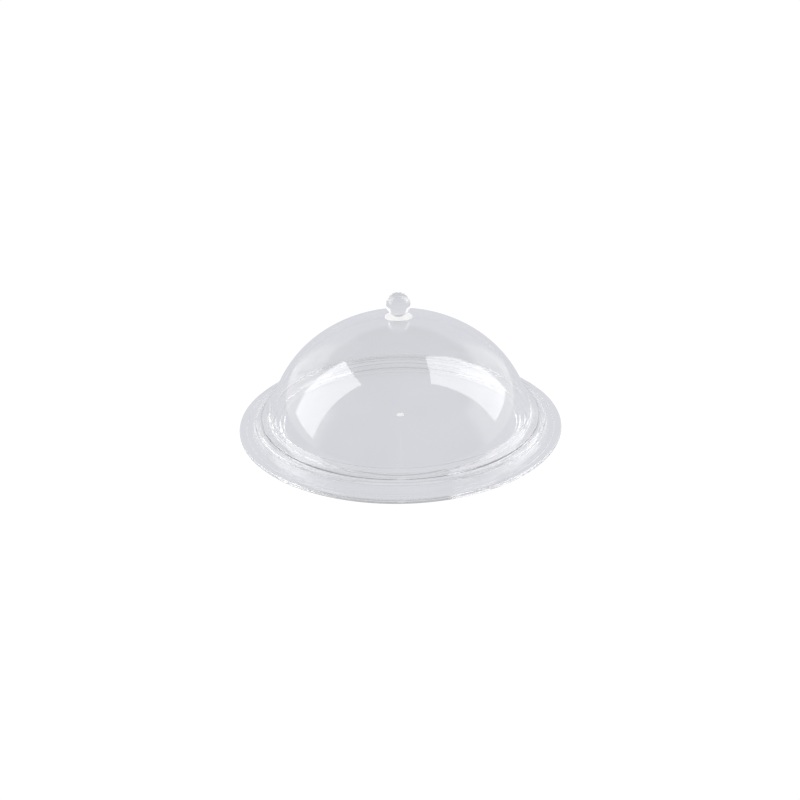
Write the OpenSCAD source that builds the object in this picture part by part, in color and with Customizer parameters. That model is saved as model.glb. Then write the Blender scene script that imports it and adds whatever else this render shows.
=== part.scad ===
// Round clear plastic tray with a flanged dome cover that lifts off by a ball knob.
// Millimetres. +Z is up, the tray's underside is z = 0, and the axis of the part is the Z axis.

/* [Tray] */
// Outer diameter of the tray
tray_d = 300; // [280:5:330]
// Thickness of the tray's floor
floor_t = 4.4; // [4:0.2:5]
// Thickness of the tray's walls outside the floor
tray_wall = 2.8; // [2.4:0.2:3.2]
// Thickness of the tray's outer lip
lip_t = 3.8; // [3.4:0.2:4.4]
// Height of the ledge that the cover stands on
ledge_z = 9.2; // [8.8:0.2:10]

/* [Cover] */
// Thickness of the cover's shell and flange
cover_wall = 2.8; // [2.4:0.2:3.2]
// Radius of the cover's crown as a ratio of its base radius
crown_ratio = 1.11; // [1.08:0.01:1.2]
// Radius of the cover's shoulder as a ratio of its base radius
shoulder_ratio = 0.92; // [0.9:0.01:0.96]
// Angle from the axis at which the crown turns into the shoulder
shoulder_angle = 36; // [30:1:40]
// Width of the flange round the cover's base
flange_w = 8.4; // [7.6:0.4:8.8]
// Height that the flange falls across its width
flange_fall = 3.8; // [3:0.2:4.2]

/* [Knob] */
// Diameter of the knob's ball
ball_d = 21.8; // [20:0.2:26]
// Diameter of the knob's foot on the crown
foot_d = 8.4; // [7.4:0.2:10]
// Diameter of the knob's threaded stud
stud_d = 5; // [4:0.5:6]
// Diameter of the washer between the knob and the crown
washer_d = 25; // [22:0.5:28]
// Thickness of the washer
washer_t = 0.8; // [0.6:0.1:1.2]
// Diameter of the low nut under the crown
nut_d = 12; // [10:0.5:14]
// Thickness of the low nut
nut_t = 2.4; // [1.8:0.2:3]

/* [Hidden] */
$fn = 180;
fine_fn = 1440;                   // for the washer's two domed faces
arc_n = 6;                        // straight stretches in each small edge rounding
big = 400;                        // reaches past every outline

// Tray: radii from the axis outwards
tray_r = tray_d / 2;
floor_r = tray_r - 40.5;          // edge of the flat floor
well_step_n = 2;                  // steps from the floor up to the ledge
well_step_run = 4.2;
ridge_in_r = tray_r - 19.5;       // low ridge that keeps the cover centred
ridge_out_r = tray_r - 16.8;
ridge_h = 1.7;
ridge_lean = 0.3;                 // run of the ridge's inner face
skirt_step_n = 2;                 // steps from the ridge down to the gutter
skirt_step_run = 2.4;
riser_share = 0.4;                // share of a step's run that its riser takes
gutter_z = 3;                     // flat channel inside the lip
lip_w = 7.5;
lip_slope = 1.4;                  // run of the slopes at the lip's inner edge
lip_round = 1.6;
base_flat_r = floor_r - 1;        // edge of the tray's flat underside
edge = 0.8;                       // mould radius of the steps
small_edge = 0.6;                 // mould radius at the gutter and the lip
gutter_floor = 0.4;               // height of the gutter's underside
gate_d = 7.6;                     // mark of the moulding gate in the middle of the floor
gate_h = 0.3;

// Cover: two arcs that meet without a corner, then the flange
seat_gap = 0.1;
seat_z = ledge_z + seat_gap;
flange_clear = 1;                 // between the flange and the ridge
base_r = ridge_in_r - flange_clear - flange_w;
crown_r = base_r * crown_ratio;
shoulder_r = base_r * shoulder_ratio;
flange_r = base_r + flange_w;
flange_angle = atan2(flange_fall, flange_w);
flange_drop = cover_wall / cos(flange_angle);   // flange thickness measured upright
crease_z = seat_z + flange_drop + flange_fall;
shoulder_cr = (crown_r - shoulder_r) * sin(shoulder_angle);
base_angle = asin((base_r - shoulder_cr) / shoulder_r);
shoulder_cz = crease_z - shoulder_r * cos(base_angle);
crown_cz = shoulder_cz - (crown_r - shoulder_r) * cos(shoulder_angle);
apex_z = crown_cz + crown_r;
seat_land = 1.6;                  // flat ring under the flange's outer edge
hole_clear = 0.5;                 // between the stud and the hole in the crown
stud_hole_r = stud_d / 2 + hole_clear;

// Knob and its fixing, from the nut under the crown up to the ball
washer_r = washer_d / 2;
washer_skirt = 2;                 // the washer's blank reaches this far below the crown
nut_r = nut_d / 2;
inner_crown_r = crown_r - cover_wall;
nut_top = crown_cz + sqrt(inner_crown_r * inner_crown_r - nut_r * nut_r);
nut_z = nut_top - nut_t;          // the flat nut meets the crown at its outer edge
slot_w = 1.4;                     // straight slot across the nut's lower face
slot_depth = 0.9;
foot_r = foot_d / 2;
washer_top_r = crown_r + washer_t;
foot_z = crown_cz + sqrt(washer_top_r * washer_top_r - stud_hole_r * stud_hole_r);
ball_sink = 0.2;                  // from the ball's lowest point up to the foot's underside
foot_top_share = 0.9;             // where the foot ends in the ball, in ball radii below its centre
ball_r = ball_d / 2;
ball_z = foot_z - ball_sink + ball_r;
stud_r = stud_d / 2;
thread_pitch = 0.8;
thread_depth = 0.3;
thread_half = 0.36;               // half the width of a thread groove at its mouth
thread_over = 0.1;                // how far a groove's mouth stands out of the stud
bore_clear = 0.05;                // between the stud and the nut's bore

function unit(v) = v / norm(v);

// Points of a corner at p rounded to radius p.z, between its neighbours a and b
function corner(a, p, b) =
    p.z == 0 ? [[p.x, p.y]] :
    let (q = [p.x, p.y],
         u = unit([a.x, a.y] - q),
         v = unit([b.x, b.y] - q),
         half = acos(u * v) / 2,
         c = q + unit(u + v) * p.z / sin(half),
         from = q + u * p.z / tan(half) - c,
         to = q + v * p.z / tan(half) - c,
         a0 = atan2(from.y, from.x),
         turn = atan2(cross(from, to), from * to))
    [for (i = [0:arc_n]) c + p.z * [cos(a0 + turn * i / arc_n), sin(a0 + turn * i / arc_n)]];

// An outline of [r, z, rounding] points, with each corner rounded
function rounded(pts) =
    let (n = len(pts))
    [for (i = [0:n - 1]) each corner(pts[(i + n - 1) % n], pts[i], pts[(i + 1) % n])];

// A stair of n steps from [r0, z0] to [r1, z1], as outline points after the first
function stair(r0, z0, r1, z1, n) =
    let (run = (r1 - r0) / n, rise = (z1 - z0) / n, lean = abs(run) * riser_share)
    rise > 0 ?
    [for (i = [0:n - 1]) each [[r0 + i * run, z0 + i * rise, edge],
                               [r0 + i * run + lean, z0 + (i + 1) * rise, edge]]] :
    [for (i = [0:n - 1]) each [[r0 + (i + 1) * run - lean, z0 + i * rise, edge],
                               [r0 + (i + 1) * run, z0 + (i + 1) * rise, edge]]];

// Part of the cover's wall: a ring of outer radius r between two angles from the Z axis
module arc_band(cr, cz, r, a0, a1) {
    translate([cr, cz])
        intersection() {
            difference() {
                circle(r);
                circle(r - cover_wall);
            }
            polygon([[0, 0], big * [sin(a0), cos(a0)], big * [sin(a1), cos(a1)]]);
        }
}

module tray() {
    ledge_in_r = floor_r + well_step_n * well_step_run;
    skirt_r = ridge_out_r + skirt_step_n * skirt_step_run;
    ridge_z = ledge_z + ridge_h;
    lip_in_r = tray_r - lip_w;
    under_z = ledge_z - tray_wall;
    outline = concat(
        [[0, floor_t, 0]],
        stair(floor_r, floor_t, ledge_in_r, ledge_z, well_step_n),
        [[ridge_in_r, ledge_z, 0.3], [ridge_in_r + ridge_lean, ridge_z, 0.5]],
        stair(ridge_out_r, ridge_z, skirt_r, gutter_z, skirt_step_n),
        [[lip_in_r, gutter_z, small_edge], [lip_in_r + lip_slope, lip_t, small_edge],
         [tray_r, lip_t, lip_round], [tray_r, 0, lip_round],
         [lip_in_r + lip_slope, 0, small_edge], [lip_in_r, gutter_floor, small_edge],
         [skirt_r - tray_wall * 0.4, gutter_floor, edge],
         [ridge_out_r - tray_wall * 0.8, under_z, edge],
         [ledge_in_r + tray_wall * 0.6, under_z, edge], [base_flat_r, 0, edge], [0, 0, 0]]);
    color([0.93, 0.95, 0.97, 0.5]) {
        rotate_extrude() polygon(rounded(outline));
        translate([0, 0, floor_t - 1]) cylinder(d = gate_d, h = 1 + gate_h);
    }
}

module dome_cover() {
    inner_r = shoulder_cr + (shoulder_r - cover_wall) * sin(base_angle);
    inner_z = shoulder_cz + (shoulder_r - cover_wall) * cos(base_angle);
    under_in_z = seat_z + (flange_r - inner_r) * tan(flange_angle);
    land_z = seat_z + seat_land * tan(flange_angle);
    mid_crown_r = crown_r - cover_wall / 2;
    flange = [
        [inner_r, inner_z, 0], [base_r, crease_z, 0],
        [flange_r, crease_z - flange_fall, 0.9], [flange_r, seat_z, 0.3],
        [flange_r - seat_land, seat_z, 0], [flange_r - seat_land, land_z, 0],
        [inner_r, under_in_z, 0.3]];
    color([0.90, 0.93, 0.96, 0.45])
        difference() {
            union() {
                rotate_extrude() arc_band(0, crown_cz, crown_r, 0, shoulder_angle);
                rotate_extrude()
                    translate([mid_crown_r * sin(shoulder_angle),
                               crown_cz + mid_crown_r * cos(shoulder_angle)])
                        circle(cover_wall / 4);   // ties the two arcs' ends inside the wall
                rotate_extrude()
                    arc_band(shoulder_cr, shoulder_cz, shoulder_r, shoulder_angle, base_angle);
                rotate_extrude() polygon(rounded(flange));
            }
            translate([0, 0, apex_z - 2 * cover_wall])
                cylinder(r = stud_hole_r, h = 3 * cover_wall);
        }
}

module ball_knob() {
    foot_top = ball_z - ball_r * foot_top_share;
    color([0.95, 0.96, 0.98, 0.6])
        union() {
            translate([0, 0, ball_z]) sphere(ball_r);
            rotate_extrude()
                polygon(rounded([
                    [0, foot_z, 0], [foot_r, foot_z, 0.2], [foot_r, foot_top, 0], [0, foot_top, 0]]));
            rotate_extrude()
                difference() {
                    polygon(rounded([
                        [0, nut_z, 0], [stud_r, nut_z, 0.3], [stud_r, foot_top, 0], [0, foot_top, 0]]));
                    for (z = [nut_z + thread_pitch:thread_pitch:apex_z])
                        translate([stud_r, z])
                            polygon([[thread_over, -thread_half], [-thread_depth, 0],
                                     [thread_over, thread_half]]);
                }
        }
}

module knob_washer() {
    color([0.97, 0.97, 0.97])
        rotate_extrude()
            difference() {
                intersection() {
                    translate([stud_hole_r, apex_z - washer_skirt])
                        square([washer_r - stud_hole_r, washer_skirt + 2 * washer_t]);
                    translate([0, crown_cz]) circle(washer_top_r, $fn = fine_fn);
                }
                translate([0, crown_cz]) circle(crown_r, $fn = fine_fn);
            }
}

module knob_nut() {
    color([0.97, 0.97, 0.97])
        difference() {
            rotate_extrude()
                polygon(rounded([
                    [0, nut_z, 0], [nut_r, nut_z, 0.6], [nut_r, nut_top, 0], [0, nut_top, 0]]));
            translate([0, 0, nut_z - 1]) cylinder(r = stud_r + bore_clear, h = nut_t + 2);
            translate([-nut_d, -slot_w / 2, nut_z - 1]) cube([2 * nut_d, slot_w, slot_depth + 1]);
        }
}

tray();
dome_cover();
ball_knob();
knob_washer();
knob_nut();
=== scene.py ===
import math

import bmesh
import bpy
from mathutils import Matrix, Vector


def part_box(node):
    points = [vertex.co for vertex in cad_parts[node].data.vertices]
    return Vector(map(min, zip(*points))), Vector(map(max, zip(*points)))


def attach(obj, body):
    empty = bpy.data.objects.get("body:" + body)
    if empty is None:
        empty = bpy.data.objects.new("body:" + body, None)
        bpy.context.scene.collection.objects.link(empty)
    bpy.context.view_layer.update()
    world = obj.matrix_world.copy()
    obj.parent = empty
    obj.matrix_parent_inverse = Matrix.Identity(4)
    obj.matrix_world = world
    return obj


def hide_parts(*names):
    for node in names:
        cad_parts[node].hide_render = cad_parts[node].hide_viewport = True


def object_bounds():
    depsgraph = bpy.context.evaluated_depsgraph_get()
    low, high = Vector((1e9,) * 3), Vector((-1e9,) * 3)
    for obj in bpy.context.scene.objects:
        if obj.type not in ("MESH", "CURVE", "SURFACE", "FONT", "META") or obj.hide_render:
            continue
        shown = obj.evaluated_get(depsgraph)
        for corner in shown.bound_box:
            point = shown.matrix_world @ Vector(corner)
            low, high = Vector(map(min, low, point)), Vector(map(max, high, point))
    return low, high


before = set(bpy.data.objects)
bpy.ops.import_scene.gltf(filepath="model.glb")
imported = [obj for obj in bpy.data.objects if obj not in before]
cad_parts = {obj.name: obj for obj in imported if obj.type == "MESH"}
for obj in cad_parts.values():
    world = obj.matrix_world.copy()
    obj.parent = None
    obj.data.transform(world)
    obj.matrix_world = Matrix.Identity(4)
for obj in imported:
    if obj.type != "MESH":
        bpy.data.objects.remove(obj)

MM = 0.001
CAD_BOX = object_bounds()

# ---------------------------------------------------------------- sizes, from the frame

TRAY_LOW, TRAY_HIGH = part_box("tray")
COVER_LOW, COVER_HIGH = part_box("dome_cover")
KNOB_LOW, KNOB_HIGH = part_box("ball_knob")
WASHER_LOW, WASHER_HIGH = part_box("knob_washer")
NUT_LOW, NUT_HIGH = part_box("knob_nut")

TRAY_R = (TRAY_HIGH.x - TRAY_LOW.x) / 2
FLANGE_R = (COVER_HIGH.x - COVER_LOW.x) / 2
SEAT_Z = COVER_LOW.z

SEGMENTS = 540            # straight stretches round a large turned piece
SMALL_SEGMENTS = 144      # the same for the knob and its fixing
ARC_POINTS = 8            # stretches in each small edge rounding
SUPPORT = 0.06 * MM       # distance from a rounding at which a flat face's shading is held
FACE_GAP = 0.03 * MM      # clear plastic faces that touch are drawn this far apart


# ---------------------------------------------------------------- outlines

def rounded(points):
    """(r, z) points of a closed outline of (r, z, rounding), with its corners turned into arcs."""
    out = []
    count = len(points)
    for i, (r, z, radius) in enumerate(points):
        here = Vector((r, z))
        to_last = (Vector(points[i - 1][:2]) - here).normalized()
        to_next = (Vector(points[(i + 1) % count][:2]) - here).normalized()
        if radius == 0:
            out.append(here)
            continue
        half = to_last.angle(to_next) / 2
        centre = here + (to_last + to_next).normalized() * radius / math.sin(half)
        start = here + to_last * radius / math.tan(half) - centre
        end = here + to_next * radius / math.tan(half) - centre
        turn = start.angle_signed(end)
        for k in range(ARC_POINTS + 1):
            out.append(centre + Matrix.Rotation(-turn * k / ARC_POINTS, 2) @ start)
    return out


def arc(centre_r, centre_z, radius, start, end, count):
    """Points of an arc, with its angles measured from the Z axis."""
    return [Vector((centre_r + radius * math.sin(start + (end - start) * i / count),
                    centre_z + radius * math.cos(start + (end - start) * i / count)))
            for i in range(count + 1)]


def supported(points):
    """The outline with a point close to each end of every long straight stretch, so that smooth
    shading bends only next to the roundings."""
    out = []
    for i, here in enumerate(points):
        out.append(here)
        step = points[(i + 1) % len(points)] - here
        if step.length > 6 * SUPPORT:
            out.append(here + step.normalized() * SUPPORT)
            out.append(here + step - step.normalized() * SUPPORT)
    return out


def stair(r0, z0, r1, z1, count, edge):
    """Outline points of small steps from (r0, z0) to just before (r1, z1)."""
    run, rise = (r1 - r0) / count, (z1 - z0) / count
    lean = abs(run) * 0.4
    out = []
    for i in range(count):
        near, far = (i * run, i * run + lean) if rise > 0 else ((i + 1) * run - lean, (i + 1) * run)
        out += [(r0 + near, z0 + i * rise, edge), (r0 + far, z0 + (i + 1) * rise, edge)]
    return out


# ---------------------------------------------------------------- turned pieces

def lathe(name, outline, segments, swell=None):
    """A solid turned about the Z axis from a closed outline. swell(r, z, angle) may change a radius.
    It casts no shadow on the other pieces or on the table."""
    bm = bmesh.new()
    rings = []
    for r, z in outline:
        if r < 1e-7:
            rings.append([bm.verts.new((0, 0, z))])
            continue
        ring = []
        for k in range(segments):
            angle = 2 * math.pi * k / segments
            radius = swell(r, z, angle) if swell else r
            ring.append(bm.verts.new((radius * math.cos(angle), radius * math.sin(angle), z)))
        rings.append(ring)
    for low, high in zip(rings, rings[1:] + rings[:1]):
        if len(low) == 1 and len(high) == 1:
            continue
        for k in range(segments):
            n = (k + 1) % segments
            corners = [low[k % len(low)], low[n % len(low)], high[n % len(high)], high[k % len(high)]]
            face = list(dict.fromkeys(corners))
            bm.faces.new(face).smooth = True
    bmesh.ops.recalc_face_normals(bm, faces=bm.faces)
    mesh = bpy.data.meshes.new(name)
    bm.to_mesh(mesh)
    bm.free()
    piece = bpy.data.objects.new(name, mesh)
    bpy.context.scene.collection.objects.link(piece)
    piece.visible_shadow = False
    piece.visible_diffuse = False
    return piece


def finish_piece(piece, material, body, node):
    """Gives a piece its material and body. It stands for a CAD node, which it hides, unless node is None.
    """
    piece.data.materials.append(material)
    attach(piece, body)
    if node:
        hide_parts(node)
    return piece


# ---------------------------------------------------------------- materials

ACRYLIC_IOR = 1.49
WHITE_IOR = 1.45
CLEAR_TINT = 0.985        # share of light that a clear moulding's colour lets through


def node_tree(material):
    material.use_nodes = True
    tree = material.node_tree
    return tree, tree.nodes["Principled BSDF"]


def noise(tree, scale, detail, low, high):
    """A noise in object space, mapped to low..high."""
    coord = tree.nodes.new("ShaderNodeTexCoord")
    texture = tree.nodes.new("ShaderNodeTexNoise")
    texture.inputs["Scale"].default_value = scale
    texture.inputs["Detail"].default_value = detail
    ramp = tree.nodes.new("ShaderNodeMapRange")
    ramp.inputs["From Min"].default_value = 0.3
    ramp.inputs["From Max"].default_value = 0.7
    ramp.inputs["To Min"].default_value = low
    ramp.inputs["To Max"].default_value = high
    tree.links.new(coord.outputs["Object"], texture.inputs["Vector"])
    tree.links.new(texture.outputs["Fac"], ramp.inputs["Value"])
    return ramp.outputs["Result"]


def clear_plastic(name, haze):
    """Polished clear moulding: a tint that drifts slightly, and a faint uneven haze."""
    material = bpy.data.materials.new(name)
    tree, shader = node_tree(material)
    shader.inputs["Transmission Weight"].default_value = 1.0
    shader.inputs["IOR"].default_value = ACRYLIC_IOR
    mix = tree.nodes.new("ShaderNodeMix")
    mix.data_type = "RGBA"
    mix.inputs["A"].default_value = (CLEAR_TINT * 0.985,) * 3 + (1,)
    mix.inputs["B"].default_value = (CLEAR_TINT * 1.01,) * 3 + (1,)
    tree.links.new(noise(tree, 14, 2, 0, 1), mix.inputs["Factor"])
    tree.links.new(mix.outputs["Result"], shader.inputs["Base Color"])
    tree.links.new(noise(tree, 60, 4, 0, haze), shader.inputs["Roughness"])
    return material


def grained_plastic(name, rough):
    """Opaque white plastic, satin or ground, with a fine grain."""
    material = bpy.data.materials.new(name)
    tree, shader = node_tree(material)
    shader.inputs["IOR"].default_value = WHITE_IOR
    mix = tree.nodes.new("ShaderNodeMix")
    mix.data_type = "RGBA"
    mix.inputs["A"].default_value = (0.95, 0.95, 0.95, 1)
    mix.inputs["B"].default_value = (1, 1, 1, 1)
    tree.links.new(noise(tree, 600, 3, 0, 1), mix.inputs["Factor"])
    tree.links.new(mix.outputs["Result"], shader.inputs["Base Color"])
    tree.links.new(noise(tree, 900, 3, rough - 0.08, rough + 0.08), shader.inputs["Roughness"])
    grain = tree.nodes.new("ShaderNodeBump")
    grain.inputs["Strength"].default_value = 0.25
    grain.inputs["Distance"].default_value = 0.1 * MM
    tree.links.new(noise(tree, 2500, 2, 0, 1), grain.inputs["Height"])
    tree.links.new(grain.outputs["Normal"], shader.inputs["Normal"])
    return material


TRAY_PLASTIC = clear_plastic("clear_tray_plastic", 0.008)
COVER_PLASTIC = clear_plastic("clear_cover_plastic", 0.008)
KNOB_PLASTIC = clear_plastic("clear_knob_plastic", 0.005)
WHITE_PLASTIC = grained_plastic("white_satin_plastic", 0.35)
GATE_PLASTIC = grained_plastic("ground_gate_plastic", 0.3)

# ---------------------------------------------------------------- tray

FLOOR_R = TRAY_R - 40.5 * MM
FLOOR_Z = 4.4 * MM
LIP_Z = 3.8 * MM
LEDGE_Z = SEAT_Z - 0.1 * MM
GUTTER_Z = 3.0 * MM
TRAY_WALL = 2.8 * MM
EDGE = 0.8 * MM           # rounding of the steps
SMALL_EDGE = 0.6 * MM     # rounding where the lip begins
LIP_ROUND = 1.6 * MM
LIP_SLOPE = 1.4 * MM      # width of the slope from the gutter to the lip
UNDER_GUTTER_Z = 0.4 * MM
STEPS = 2                 # small steps on each side of the ledge


def tray_outline():
    """From the middle of the floor out over the ledge, ridge, gutter and lip, and back underneath."""
    ridge_in_r, ridge_out_r = TRAY_R - 19.5 * MM, TRAY_R - 16.8 * MM
    ridge_z = TRAY_HIGH.z
    ledge_in_r = FLOOR_R + 8.4 * MM
    skirt_r = ridge_out_r + 4.8 * MM
    lip_in_r = TRAY_R - 7.5 * MM
    slope_r = lip_in_r + LIP_SLOPE
    under_z = LEDGE_Z - TRAY_WALL
    return rounded(
        [(0, FLOOR_Z, 0)]
        + stair(FLOOR_R, FLOOR_Z, ledge_in_r, LEDGE_Z, STEPS, EDGE)
        + [(ridge_in_r, LEDGE_Z, 0.3 * MM), (ridge_in_r + 0.3 * MM, ridge_z, 0.5 * MM)]
        + stair(ridge_out_r, ridge_z, skirt_r, GUTTER_Z, STEPS, EDGE)
        + [(lip_in_r, GUTTER_Z, SMALL_EDGE), (slope_r, LIP_Z, SMALL_EDGE),
           (TRAY_R, LIP_Z, LIP_ROUND), (TRAY_R, 0, LIP_ROUND),
           (slope_r, 0, SMALL_EDGE), (lip_in_r, UNDER_GUTTER_Z, SMALL_EDGE),
           (skirt_r - TRAY_WALL * 0.4, UNDER_GUTTER_Z, EDGE),
           (ridge_out_r - TRAY_WALL * 0.8, under_z, EDGE),
           (ledge_in_r + TRAY_WALL * 0.6, under_z, EDGE),
           (FLOOR_R - 1 * MM, 0, EDGE), (0, 0, 0)])


tray = lathe("tray_moulding", supported(tray_outline()), SEGMENTS)
finish_piece(tray, TRAY_PLASTIC, "tray", "tray")

gate_r = 3.8 * MM
gate_h = 0.3 * MM
gate_base = FLOOR_Z + FACE_GAP
gate = lathe("gate_mark", rounded([
    (0, gate_base, 0), (gate_r, gate_base, 0), (gate_r, gate_base + gate_h * 0.5, 0.1 * MM),
    (gate_r * 0.8, gate_base + gate_h * 0.9, 0.1 * MM), (0, gate_base + gate_h * 0.7, 0)]), SMALL_SEGMENTS)
finish_piece(gate, GATE_PLASTIC, "tray", None)

# ---------------------------------------------------------------- cover

COVER_WALL = 2.8 * MM
FLANGE_W = 8.4 * MM
FLANGE_FALL = 3.8 * MM
BASE_R = FLANGE_R - FLANGE_W
CROWN_RATIO = 1.11
SHOULDER_RATIO = 0.92
CROWN_R = BASE_R * CROWN_RATIO
SHOULDER_R = BASE_R * SHOULDER_RATIO
SHOULDER_ANGLE = math.radians(36)
HOLE_R = 3.0 * MM
CROWN_POINTS = 40         # stretches along the crown's arc
SHOULDER_POINTS = 70

flange_angle = math.atan2(FLANGE_FALL, FLANGE_W)
crease_z = SEAT_Z + COVER_WALL / math.cos(flange_angle) + FLANGE_FALL
shoulder_cr = (CROWN_R - SHOULDER_R) * math.sin(SHOULDER_ANGLE)
base_angle = math.asin((BASE_R - shoulder_cr) / SHOULDER_R)
shoulder_cz = crease_z - SHOULDER_R * math.cos(base_angle)
crown_cz = shoulder_cz - (CROWN_R - SHOULDER_R) * math.cos(SHOULDER_ANGLE)
APEX_Z = crown_cz + CROWN_R


def cover_outline():
    """From the hole in the crown down the outside, round the flange and back up the inside."""
    inner_crown, inner_shoulder = CROWN_R - COVER_WALL, SHOULDER_R - COVER_WALL
    inner_r = shoulder_cr + inner_shoulder * math.sin(base_angle)
    inner_z = shoulder_cz + inner_shoulder * math.cos(base_angle)
    hole_angle = math.asin(HOLE_R / CROWN_R)
    inner_hole_angle = math.asin(HOLE_R / inner_crown)
    land = 1.6 * MM
    tilt = math.tan(flange_angle)
    flange = rounded([
        (inner_r, inner_z, 0), (BASE_R, crease_z, 0),
        (FLANGE_R, crease_z - FLANGE_FALL, 0.9 * MM), (FLANGE_R, SEAT_Z, 0.3 * MM),
        (FLANGE_R - land, SEAT_Z, 0), (FLANGE_R - land, SEAT_Z + land * tilt, 0),
        (inner_r, SEAT_Z + (FLANGE_R - inner_r) * tilt, 0.3 * MM)])[2:]
    outer = (arc(0, crown_cz, CROWN_R, hole_angle, SHOULDER_ANGLE, CROWN_POINTS)
             + arc(shoulder_cr, shoulder_cz, SHOULDER_R, SHOULDER_ANGLE, base_angle, SHOULDER_POINTS)[1:])
    inner = (arc(shoulder_cr, shoulder_cz, inner_shoulder, base_angle, SHOULDER_ANGLE, SHOULDER_POINTS)
             + arc(0, crown_cz, inner_crown, SHOULDER_ANGLE, inner_hole_angle, CROWN_POINTS)[1:])
    return outer + supported(flange)[:-2] + inner


cover = lathe("dome_moulding", cover_outline(), SEGMENTS)
finish_piece(cover, COVER_PLASTIC, "cover", "dome_cover")

# ---------------------------------------------------------------- knob and fixing

BALL_R = (KNOB_HIGH.x - KNOB_LOW.x) / 2
BALL_Z = KNOB_HIGH.z - BALL_R
FOOT_R = 4.2 * MM
STUD_R = 2.5 * MM
THREAD_PITCH = 0.8 * MM
THREAD_DEPTH = 0.3 * MM
THREAD_RINGS = 8          # rings of points in each turn of the thread
FOOT_ANGLE = math.radians(158)    # where the foot meets the ball, from the ball's top
FOOT_BLEND = 0.1          # radians of the ball beside it
WASHER_T = 0.8 * MM


def crown_z(r, radius):
    """Height of one of the crown's two faces at a distance from the axis."""
    return crown_cz + math.sqrt(radius * radius - r * r)


def thread(r, z, angle):
    """Cuts a helical groove into the stud below the crown's outer face."""
    if abs(r - STUD_R) > 0.01 * MM or z > APEX_Z:
        return r
    turn = (z / THREAD_PITCH - angle / (2 * math.pi)) % 1
    return r - THREAD_DEPTH * (1 - abs(2 * turn - 1))


def knob_outline():
    """From the stud's end up the thread, out to the foot on the crown, and over the ball."""
    foot_z = crown_z(HOLE_R, CROWN_R + WASHER_T) + FACE_GAP
    blend = FOOT_ANGLE - FOOT_BLEND
    low = KNOB_LOW.z + 0.3 * MM
    rings = round((APEX_Z - low) / THREAD_PITCH * THREAD_RINGS)
    stud = [Vector((0, KNOB_LOW.z)), Vector((STUD_R - 0.4 * MM, KNOB_LOW.z))]
    stud += [Vector((STUD_R, low + (APEX_Z - 1 * MM - low) * i / rings)) for i in range(rings + 1)]
    foot = supported(rounded([
        (STUD_R, APEX_Z - 1 * MM, 0), (STUD_R, foot_z, 0.1 * MM), (FOOT_R, foot_z, 0.3 * MM),
        (BALL_R * math.sin(FOOT_ANGLE), BALL_Z + BALL_R * math.cos(FOOT_ANGLE), 0.4 * MM),
        (BALL_R * math.sin(blend), BALL_Z + BALL_R * math.cos(blend), 0)]))[1:-2]
    ball = arc(0, BALL_Z, BALL_R, blend, 0, 90)
    ball[-1].x = 0
    return stud + foot + ball


knob = lathe("ball_knob_moulding", knob_outline(), SMALL_SEGMENTS, thread)
finish_piece(knob, KNOB_PLASTIC, "cover", "ball_knob")


def washer_outline():
    """Out along the face on the crown, round the rim and back along the face under the foot."""
    rim = 0.2 * MM
    rim_points = 8
    face_points = 12
    face_r = (WASHER_HIGH.x - WASHER_LOW.x) / 2 - rim
    top_r = CROWN_R + WASHER_T
    low_face = arc(0, crown_cz + FACE_GAP, CROWN_R,
                   math.asin(HOLE_R / CROWN_R), math.asin(face_r / CROWN_R), face_points)
    high_face = arc(0, crown_cz, top_r,
                    math.asin(face_r / top_r), math.asin(HOLE_R / top_r), face_points)
    edge_z = (low_face[-1].y + high_face[0].y) / 2
    half = (WASHER_T - FACE_GAP) / 2
    turns = [math.pi * i / rim_points for i in range(1, rim_points)]
    edge = [Vector((face_r + rim * math.sin(turn), edge_z - half * math.cos(turn))) for turn in turns]
    return low_face + edge + high_face


washer = lathe("washer_ring", washer_outline(), SMALL_SEGMENTS)
finish_piece(washer, WHITE_PLASTIC, "cover", "knob_washer")

nut_r = (NUT_HIGH.x - NUT_LOW.x) / 2
BORE_R = STUD_R + 0.05 * MM
SLOT_W = 1.4 * MM
SLOT_DEPTH = 0.9 * MM


def cut_slot(piece, width, low, high):
    """Cuts a straight slot, along X, out of a piece between two heights."""
    bm = bmesh.new()
    bmesh.ops.create_cube(bm, size=1)
    bmesh.ops.scale(bm, verts=bm.verts, vec=(40 * MM, width, high - low))
    bmesh.ops.translate(bm, verts=bm.verts, vec=(0, 0, (high + low) / 2))
    mesh = bpy.data.meshes.new("slot_cutter")
    bm.to_mesh(mesh)
    bm.free()
    cutter = bpy.data.objects.new("slot_cutter", mesh)
    bpy.context.scene.collection.objects.link(cutter)
    modifier = piece.modifiers.new("slot", "BOOLEAN")
    modifier.operation = "DIFFERENCE"
    modifier.solver = "EXACT"
    modifier.object = cutter
    bpy.context.view_layer.update()
    solid = piece.evaluated_get(bpy.context.evaluated_depsgraph_get())
    slotted = bpy.data.meshes.new_from_object(solid)
    piece.modifiers.remove(modifier)
    piece.data = slotted
    slotted.set_sharp_from_angle(angle=math.radians(25))
    bpy.data.objects.remove(cutter)


nut = lathe("slotted_nut", supported(rounded([
    (BORE_R, NUT_LOW.z, 0.2 * MM), (nut_r, NUT_LOW.z, 0.6 * MM),
    (nut_r, NUT_HIGH.z, 0.1 * MM), (BORE_R, NUT_HIGH.z, 0)])), SMALL_SEGMENTS)
cut_slot(nut, SLOT_W, NUT_LOW.z - 1 * MM, NUT_LOW.z + SLOT_DEPTH)
finish_piece(nut, WHITE_PLASTIC, "cover", "knob_nut")

# ---------------------------------------------------------------- stage

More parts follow.
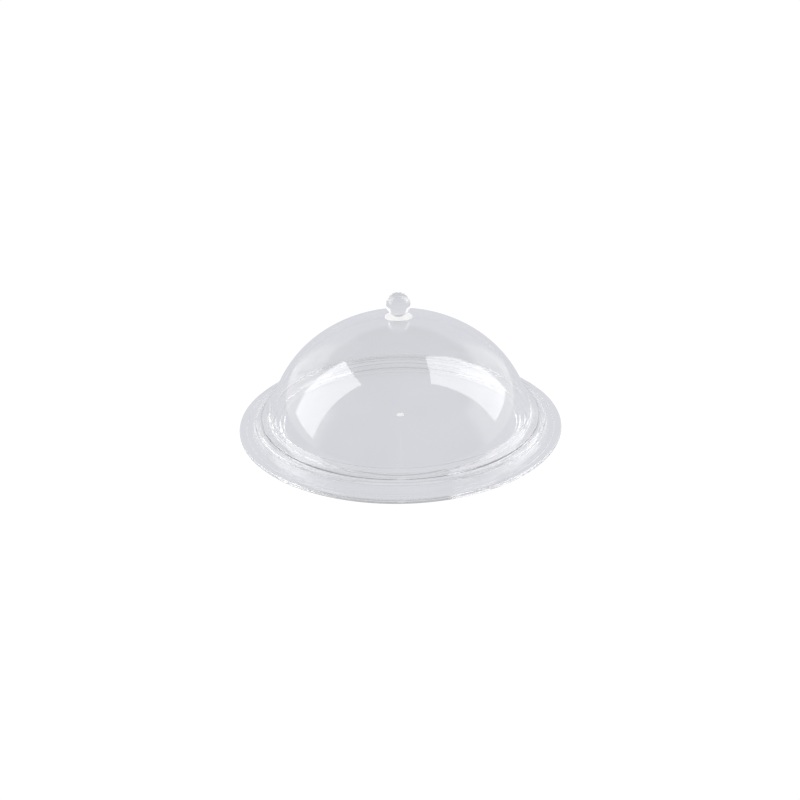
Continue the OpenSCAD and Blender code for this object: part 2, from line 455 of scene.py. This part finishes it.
WHITE = 1.03              # radiance that shows as white
TABLE_GREY = (0.70, 0.71, 0.75)   # what the clear plastic sees of the table
BACKDROP_SLOPE = 0.62     # half width of the grey backdrop behind, over its distance
BACKDROP_LEAST = 0.01     # its least half width
BACKDROP_GREY = (0.72, 0.73, 0.77)
WALL_LEVEL = 1.10         # radiance of the wall behind, up to WALL_TOP
WALL_TOP = math.sin(math.radians(42))       # heights as sines of elevation
WALL_FADE = math.sin(math.radians(25))      # where the wall starts to darken
BACKDROP_FADE = math.sin(math.radians(30))  # where the backdrop starts to give way
DARK = 0.42               # radiance of the studio above and in front
SOFTBOX = 3.0


def math_node(tree, operation, first, second=None):
    node = tree.nodes.new("ShaderNodeMath")
    node.operation = operation
    tree.links.new(first, node.inputs[0])
    if second is not None:
        tree.links.new(second, node.inputs[1])
    return node.outputs["Value"]


def map_range(tree, socket, low, high, at_low, at_high):
    node = tree.nodes.new("ShaderNodeMapRange")
    node.interpolation_type = "SMOOTHSTEP"
    node.inputs["From Min"].default_value = low
    node.inputs["From Max"].default_value = high
    node.inputs["To Min"].default_value = at_low
    node.inputs["To Max"].default_value = at_high
    tree.links.new(socket, node.inputs["Value"])
    return node.outputs["Result"]


def sideways_share(tree, split):
    """0 in the wedge behind the object that the grey backdrop fills, 1 elsewhere."""
    wedge = tree.nodes.new("ShaderNodeMath")
    wedge.operation = "MULTIPLY"
    tree.links.new(split.outputs["Y"], wedge.inputs[0])
    wedge.inputs[1].default_value = BACKDROP_SLOPE
    limit = tree.nodes.new("ShaderNodeMath")
    limit.operation = "MAXIMUM"
    tree.links.new(wedge.outputs["Value"], limit.inputs[0])
    limit.inputs[1].default_value = BACKDROP_LEAST
    sideways = math_node(tree, "ABSOLUTE", split.outputs["X"])
    past = math_node(tree, "DIVIDE", sideways, limit.outputs["Value"])
    return map_range(tree, past, 0.85, 1.25, 0, 1)


def emission(name, strength, colour=(1, 1, 1)):
    material = bpy.data.materials.new(name)
    material.use_nodes = True
    tree = material.node_tree
    tree.nodes.clear()
    out = tree.nodes.new("ShaderNodeOutputMaterial")
    glow = tree.nodes.new("ShaderNodeEmission")
    glow.inputs["Color"].default_value = (*colour, 1)
    glow.inputs["Strength"].default_value = strength
    tree.links.new(glow.outputs["Emission"], out.inputs["Surface"])
    return material


def table_material():
    """A plain table, the same all over. It is burnt out to white where it is seen directly, and
    pale grey where it is seen through the clear plastic."""
    material = emission("pale_table", 1, TABLE_GREY)
    tree = material.node_tree
    white = tree.nodes.new("ShaderNodeEmission")
    white.inputs["Color"].default_value = (1, 1, 1, 1)
    white.inputs["Strength"].default_value = WHITE
    path = tree.nodes.new("ShaderNodeLightPath")
    mix = tree.nodes.new("ShaderNodeMixShader")
    tree.links.new(path.outputs["Is Camera Ray"], mix.inputs["Fac"])
    tree.links.new(tree.nodes["Emission"].outputs["Emission"], mix.inputs[1])
    tree.links.new(white.outputs["Emission"], mix.inputs[2])
    tree.links.new(mix.outputs["Shader"], tree.nodes["Material Output"].inputs["Surface"])
    return material


GLOW = emission("softbox_glow", SOFTBOX)


def panel(name, centre, across, up, width, height, material):
    """A flat rectangle, part of the stage."""
    across, up, centre = Vector(across).normalized(), Vector(up).normalized(), Vector(centre)
    corners = [centre + across * width * x / 2 + up * height * y / 2
               for x, y in ((-1, -1), (1, -1), (1, 1), (-1, 1))]
    mesh = bpy.data.meshes.new(name)
    mesh.from_pydata([tuple(c) for c in corners], [], [(0, 1, 2, 3)])
    mesh.materials.append(material)
    obj = bpy.data.objects.new(name, mesh)
    bpy.context.scene.collection.objects.link(obj)
    return obj


def softbox(name, centre, across, up, width, height):
    """A glowing panel that only the object's surfaces see."""
    panel(name, centre, across, up, width, height, GLOW).visible_camera = False


panel("floor", (0, 0, CAD_BOX[0][2] - 0.2 * MM), (1, 0, 0), (0, 1, 0), 60, 60, table_material())
softbox("softbox_right", (0.84, 0.15, 0.84), (-0.23, 0.97, 0.03), (-0.48, -0.14, 0.87), 0.67, 1.40)
softbox("softbox_left", (-1.01, 0.09, 0.64), (-0.36, 0.93, 0.12), (0.59, 0.12, 0.80), 0.75, 1.16)


def studio_world():
    """Grey low down behind the object, white beside it, darker overhead and in front. The camera
    itself sees white."""
    world = bpy.data.worlds.new("studio")
    bpy.context.scene.world = world
    world.use_nodes = True
    tree = world.node_tree
    tree.nodes.clear()
    coord = tree.nodes.new("ShaderNodeTexCoord")
    split = tree.nodes.new("ShaderNodeSeparateXYZ")
    tree.links.new(coord.outputs["Generated"], split.inputs["Vector"])

    wall = map_range(tree, split.outputs["Z"], WALL_FADE, WALL_TOP, 1, 0)
    back = map_range(tree, split.outputs["Y"], -0.45, -0.15, 0, 1)
    level = map_range(tree, math_node(tree, "MULTIPLY", wall, back), 0, 1, DARK, WALL_LEVEL)
    grey = tree.nodes.new("ShaderNodeMix")
    grey.data_type = "RGBA"
    grey.inputs["A"].default_value = (*BACKDROP_GREY, 1)
    tree.links.new(level, grey.inputs["B"])
    above = map_range(tree, split.outputs["Z"], BACKDROP_FADE, WALL_TOP, 0, 1)
    outside = math_node(tree, "MAXIMUM", above, sideways_share(tree, split))
    tree.links.new(outside, grey.inputs["Factor"])
    room = tree.nodes.new("ShaderNodeBackground")
    tree.links.new(grey.outputs["Result"], room.inputs["Color"])
    plain = tree.nodes.new("ShaderNodeBackground")
    plain.inputs["Color"].default_value = (1, 1, 1, 1)
    plain.inputs["Strength"].default_value = WHITE
    path = tree.nodes.new("ShaderNodeLightPath")
    mix = tree.nodes.new("ShaderNodeMixShader")
    out = tree.nodes.new("ShaderNodeOutputWorld")
    tree.links.new(path.outputs["Is Camera Ray"], mix.inputs["Fac"])
    tree.links.new(room.outputs["Background"], mix.inputs[1])
    tree.links.new(plain.outputs["Background"], mix.inputs[2])
    tree.links.new(mix.outputs["Shader"], out.inputs["Surface"])


studio_world()

# ---------------------------------------------------------------- camera

ELEVATION = math.radians(26.7)
DISTANCE = 5.5 * TRAY_R
ROLL = math.radians(-1.03)
LENS = 39.3
AIM_HEIGHT = 0.107 * TRAY_R       # height over the lip that the camera aims at


def set_camera():
    data = bpy.data.cameras.new("camera")
    data.sensor_width = 36
    data.lens = LENS
    data.clip_start = 0.01
    data.clip_end = 200
    camera = bpy.data.objects.new("camera", data)
    bpy.context.scene.collection.objects.link(camera)
    rim = Vector((0, 0, LIP_Z))
    place = rim + DISTANCE * Vector((0, -math.cos(ELEVATION), math.sin(ELEVATION)))
    aim = rim + Vector((0, 0, AIM_HEIGHT))
    turn = (aim - place).to_track_quat("-Z", "Y").to_matrix() @ Matrix.Rotation(ROLL, 3, "Z")
    camera.matrix_world = Matrix.Translation(place) @ turn.to_4x4()
    bpy.context.scene.camera = camera


set_camera()

scene = bpy.context.scene
scene.view_settings.view_transform = "Standard"
scene.cycles.max_bounces = 128
scene.cycles.transmission_bounces = 128
scene.cycles.glossy_bounces = 64
